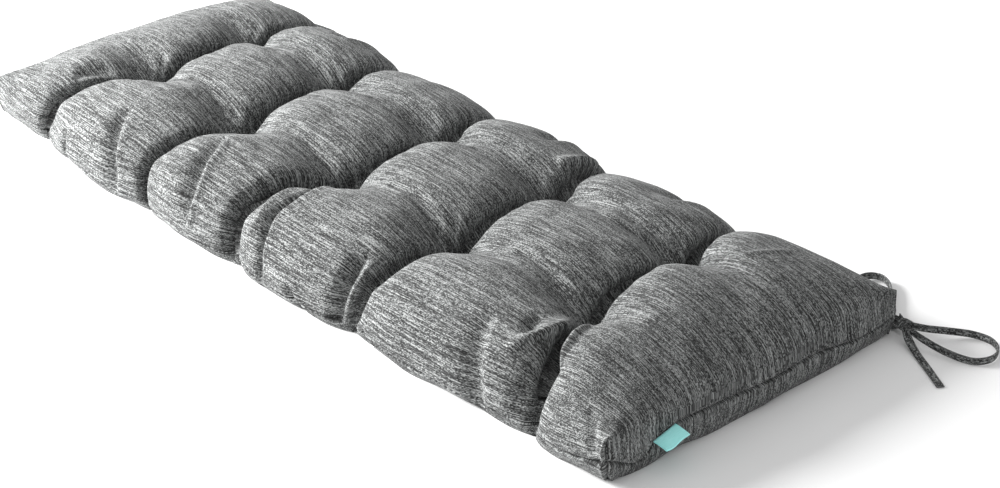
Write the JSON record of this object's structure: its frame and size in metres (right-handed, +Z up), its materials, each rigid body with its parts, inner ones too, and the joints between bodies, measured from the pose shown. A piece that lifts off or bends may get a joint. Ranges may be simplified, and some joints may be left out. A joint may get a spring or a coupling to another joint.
{
  "type": "bench cushion",
  "caption": "Long tufted bench seat cushion, one filled fabric cover drawn in by cross channels, with knotted strap ties at its back corners and a bare folded tab in an end seam.",
  "frame": {"origin": "middle of the flat underside, midway between the corners", "axes": "+X along the length, -Y towards the front edge, +Y towards the edge with the ties, +Z up out of the tufted face"},
  "size_m": [1.4301, 0.577, 0.115],
  "materials": {
    "cover": "matte heathered weave",
    "ties": "matte heathered weave",
    "tab": "smooth woven tape"
  },
  "bodies": {
    "root": {"cushion": "cover", "tie_right": "ties", "tie_left": "ties", "tab": "tab"}
  },
  "joints": []
}
